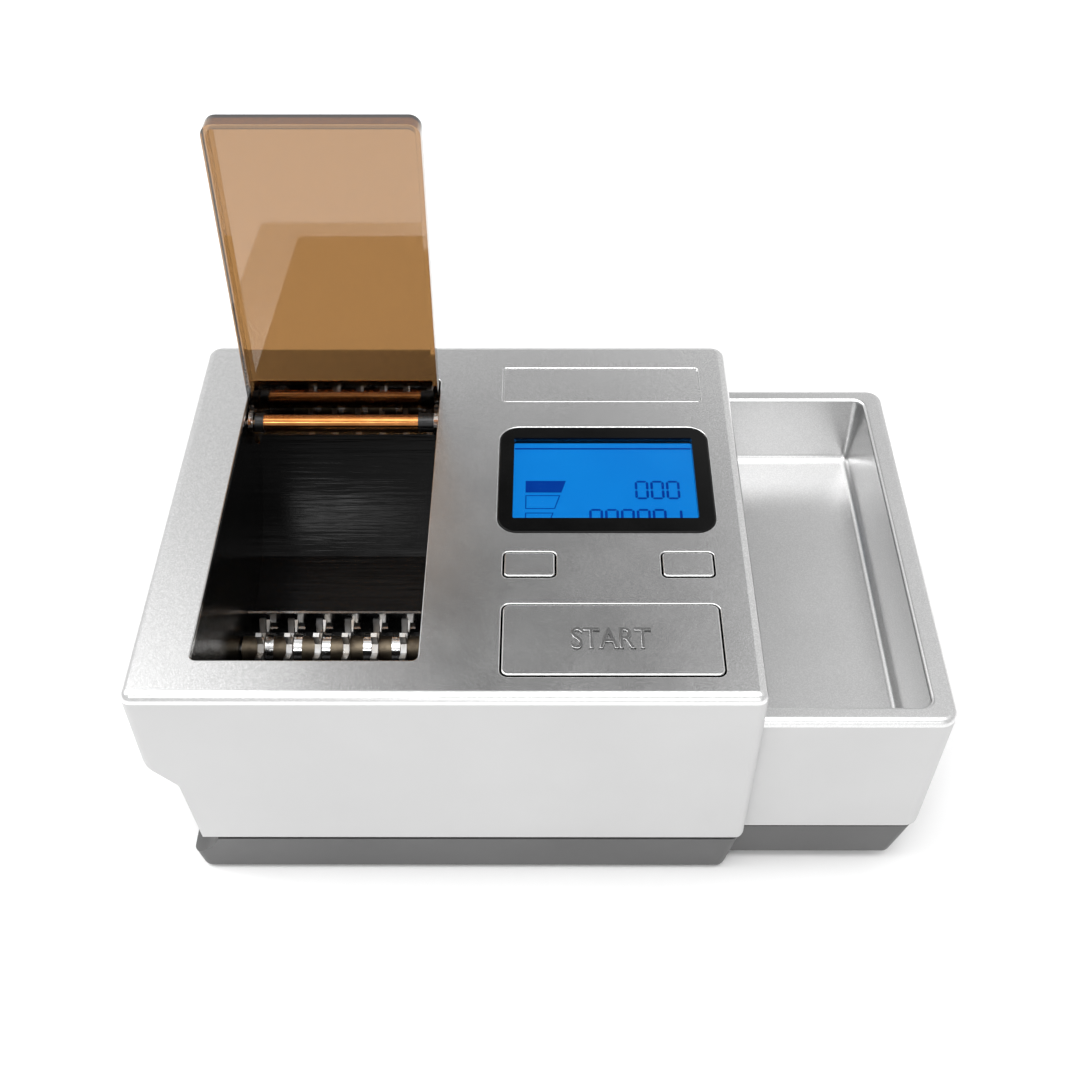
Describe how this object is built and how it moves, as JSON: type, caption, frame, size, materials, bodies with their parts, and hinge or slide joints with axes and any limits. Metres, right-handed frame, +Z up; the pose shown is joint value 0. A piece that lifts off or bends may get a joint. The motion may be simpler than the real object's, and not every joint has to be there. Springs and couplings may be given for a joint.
{
  "type": "electric tube filling machine",
  "caption": "Electric tabletop tube filling machine: silver housing with amber hopper lid, toothed pickers, blue display, press keys and a pull-out tray.",
  "frame": {"origin": "under the middle of the whole machine, on the table, with the lid open and the drawer pulled out", "axes": "+X to the drawer side, +Y from the front to the back, +Z up"},
  "size_m": [0.3154, 0.2044, 0.255],
  "materials": {
    "silver_paint": "satin silver metallic paint on moulded plastic",
    "light_grey_plastic": "fine satin light grey",
    "base_grey": "satin mid grey",
    "black_gloss": "polished black",
    "black_plastic": "glossy moulded black with flow marks",
    "amber_clear": "clear amber acrylic",
    "clear_window": "clear acrylic",
    "lcd_blue": "backlit blue liquid crystal panel",
    "chrome": "polished",
    "steel": "turned and brushed",
    "bronze": "dark sintered bronze",
    "copper_tone": "polished, copper coloured",
    "zinc_steel": "zinc plated sheet",
    "aluminium": "machined",
    "rubber": "matt black",
    "pcb_green": "solder mask",
    "nylon": "natural nylon"
  },
  "bodies": {
    "housing": {"base_pan": "base_grey", "base_screws": "steel", "chamber_block": "aluminium", "clamp_pin": "chrome", "comb_plate": "chrome", "control_board": "pcb_green", "display_frame": "black_gloss", "display_glass": "clear_window", "drawer_runners": "nylon", "drive_belt": "rubber", "drive_motor": "zinc_steel", "feet": "rubber", "guide_rod": "steel", "hinge_collars": "black_plastic", "hinge_rod": "chrome", "hinge_sleeve": "copper_tone", "hopper_liner": "black_plastic", "key_switches": "pcb_green", "lcd_panel": "lcd_blue", "left_frame_plate": "zinc_steel", "motor_saddle": "zinc_steel", "name_plate": "silver_paint", "picker_motor": "zinc_steel", "power_board": "pcb_green", "power_inlet": "black_plastic", "right_frame_plate": "zinc_steel", "rocker_pin": "chrome", "shaft_bushes": "bronze", "side_shell": "light_grey_plastic", "switch_housing": "black_plastic", "top_cover": "silver_paint", "transformer": "zinc_steel", "tube_nozzle": "chrome"},
    "lid": {"lid": "amber_clear"},
    "drawer": {"drawer_tray": "silver_paint", "drawer_skirt": "light_grey_plastic", "drawer_base": "base_grey", "drawer_screws": "steel"},
    "start_key": {"start_key": "silver_paint"},
    "left_key": {"left_key": "silver_paint"},
    "right_key": {"right_key": "silver_paint"},
    "power_rocker": {"power_rocker": "black_plastic"},
    "picker": {"picker_shaft": "steel", "picker_wheels": "steel", "picker_drum": "bronze", "spacer_rings": "chrome", "picker_gear": "nylon"},
    "picker_pinion": {"picker_pinion": "nylon"},
    "screw": {"lead_screw": "steel", "screw_pulley": "aluminium"},
    "drive_pulley": {"drive_pulley": "aluminium"},
    "injector": {"injector_spoon": "chrome", "injector_carriage": "aluminium"},
    "press_bar": {"press_bar": "steel"},
    "tube_clamp": {"tube_clamp": "black_plastic"}
  },
  "joints": [
    {"name": "lid_hinge", "type": "hinge", "parent": "housing", "child": "lid", "pos_m": [-0.09125, 0.05963, 0.1118], "axis": [1, 0, 0], "range_deg": [0, 94]},
    {"name": "drawer_slide", "type": "slide", "parent": "housing", "child": "drawer", "axis": [1, 0, 0], "range_m": [-0.0755, 0]},
    {"name": "start_press", "type": "slide", "parent": "housing", "child": "start_key", "axis": [0, 0, -1], "range_m": [0, 0.0015], "stiffness_N_per_m": 800, "springref_m": -0.002},
    {"name": "left_press", "type": "slide", "parent": "housing", "child": "left_key", "axis": [0, 0, -1], "range_m": [0, 0.001], "stiffness_N_per_m": 300, "springref_m": -0.002},
    {"name": "right_press", "type": "slide", "parent": "housing", "child": "right_key", "axis": [0, 0, -1], "range_m": [0, 0.001], "stiffness_N_per_m": 300, "springref_m": -0.002},
    {"name": "rocker_tilt", "type": "hinge", "parent": "housing", "child": "power_rocker", "pos_m": [-0.07575, 0.09683, 0.05], "axis": [1, 0, 0], "range_deg": [-16, 0]},
    {"name": "picker_spin", "type": "hinge", "parent": "housing", "child": "picker", "pos_m": [-0.09175, -0.02217, 0.0505], "axis": [1, 0, 0], "continuous": true},
    {"name": "pinion_spin", "type": "hinge", "parent": "housing", "child": "picker_pinion", "pos_m": [-0.04475, 0.00813, 0.02142], "axis": [1, 0, 0], "continuous": true},
    {"name": "screw_spin", "type": "hinge", "parent": "housing", "child": "screw", "pos_m": [-0.09175, -0.05117, 0.022], "axis": [1, 0, 0], "range_deg": [0, 1800]},
    {"name": "drive_spin", "type": "hinge", "parent": "housing", "child": "drive_pulley", "pos_m": [-0.05075, -0.01817, 0.0185], "axis": [1, 0, 0], "range_deg": [0, 1800]},
    {"name": "injector_slide", "type": "slide", "parent": "housing", "child": "injector", "axis": [-1, 0, 0], "range_m": [0, 0.075]},
    {"name": "press_slide", "type": "slide", "parent": "housing", "child": "press_bar", "axis": [0, 1, 0], "range_m": [0, 0.012]},
    {"name": "clamp_tilt", "type": "hinge", "parent": "housing", "child": "tube_clamp", "pos_m": [-0.14855, -0.05117, 0.0515], "axis": [0, -1, 0], "range_deg": [0, 6], "stiffness_Nm_per_rad": 0.02, "springref_deg": -22.92}
  ],
  "couplings": [
    {"joint": "pinion_spin", "follows": "picker_spin", "ratio": -1.8},
    {"joint": "drive_spin", "follows": "injector_slide", "rad_per_m": 418.88},
    {"joint": "screw_spin", "follows": "injector_slide", "rad_per_m": 418.88}
  ]
}
